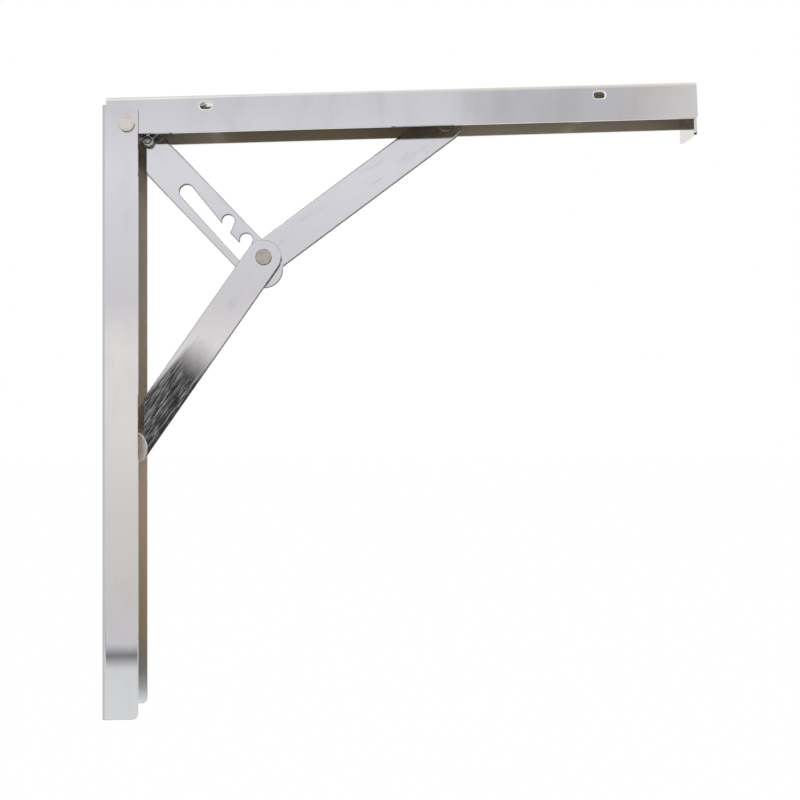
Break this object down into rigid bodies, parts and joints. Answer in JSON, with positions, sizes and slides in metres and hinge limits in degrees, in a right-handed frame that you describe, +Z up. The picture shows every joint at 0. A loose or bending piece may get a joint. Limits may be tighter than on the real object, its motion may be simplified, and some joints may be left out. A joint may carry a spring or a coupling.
{
  "type": "folding shelf bracket",
  "caption": "Folding steel shelf bracket: two nested channel arms on a hinge pin, a two-link brace and a notched hook plate that locks the elbow.",
  "frame": {"origin": "middle of the wall arm's screw holes, on the face that lies against the wall", "axes": "+X out of the wall along the shelf, +Z up, +Y across the bracket's width"},
  "size_m": [0.2979, 0.033, 0.3176],
  "materials": {
    "chromed_sheet": "polished",
    "chromed_link": "polished with lengthwise grinding marks",
    "nickel_rivet": "turned",
    "zinc_steel": "plain",
    "spring_wire": "drawn wire"
  },
  "bodies": {
    "wall_arm": {"wall_arm": "chromed_sheet", "wall_clevis": "chromed_link", "clevis_rivets": "nickel_rivet", "wall_link_pin": "nickel_rivet", "hinge_pin": "nickel_rivet", "hinge_spacer_front": "zinc_steel", "hinge_spacer_back": "zinc_steel"},
    "shelf_arm": {"shelf_arm": "chromed_sheet", "shelf_link_rivet": "nickel_rivet", "shelf_link_washer": "zinc_steel"},
    "lower_link": {"lower_link": "chromed_link", "elbow_rivet_front": "nickel_rivet"},
    "upper_link": {"upper_link": "chromed_link", "elbow_rivet_back": "nickel_rivet", "elbow_washer": "zinc_steel"},
    "hook_plate": {"hook_plate": "chromed_link", "plate_bush": "zinc_steel", "spring_stud": "nickel_rivet", "lock_spring": "spring_wire"}
  },
  "joints": [
    {"name": "shelf_fold", "type": "hinge", "parent": "wall_arm", "child": "shelf_arm", "pos_m": [0.012, 0, 0.155], "axis": [0, -1, 0], "range_deg": [-92.2, 0], "deforming": ["lock_spring"]},
    {"name": "lower_link_swing", "type": "hinge", "parent": "wall_arm", "child": "lower_link", "pos_m": [0.012, 0, -0.00343], "axis": [0, -1, 0], "range_deg": [0, 34.6]},
    {"name": "upper_link_swing", "type": "hinge", "parent": "shelf_arm", "child": "upper_link", "pos_m": [0.17026, 0, 0.16219], "axis": [0, -1, 0], "range_deg": [-34.6, 0]},
    {"name": "plate_turn", "type": "hinge", "parent": "shelf_arm", "child": "hook_plate", "pos_m": [0.012, 0, 0.155], "axis": [0, -1, 0], "range_deg": [0, 50]}
  ],
  "couplings": [
    {"joint": "lower_link_swing", "follows": "shelf_fold", "ratio": -0.37443},
    {"joint": "upper_link_swing", "follows": "shelf_fold", "ratio": 0.37443},
    {"joint": "plate_turn", "follows": "shelf_fold", "ratio": -0.54}
  ]
}
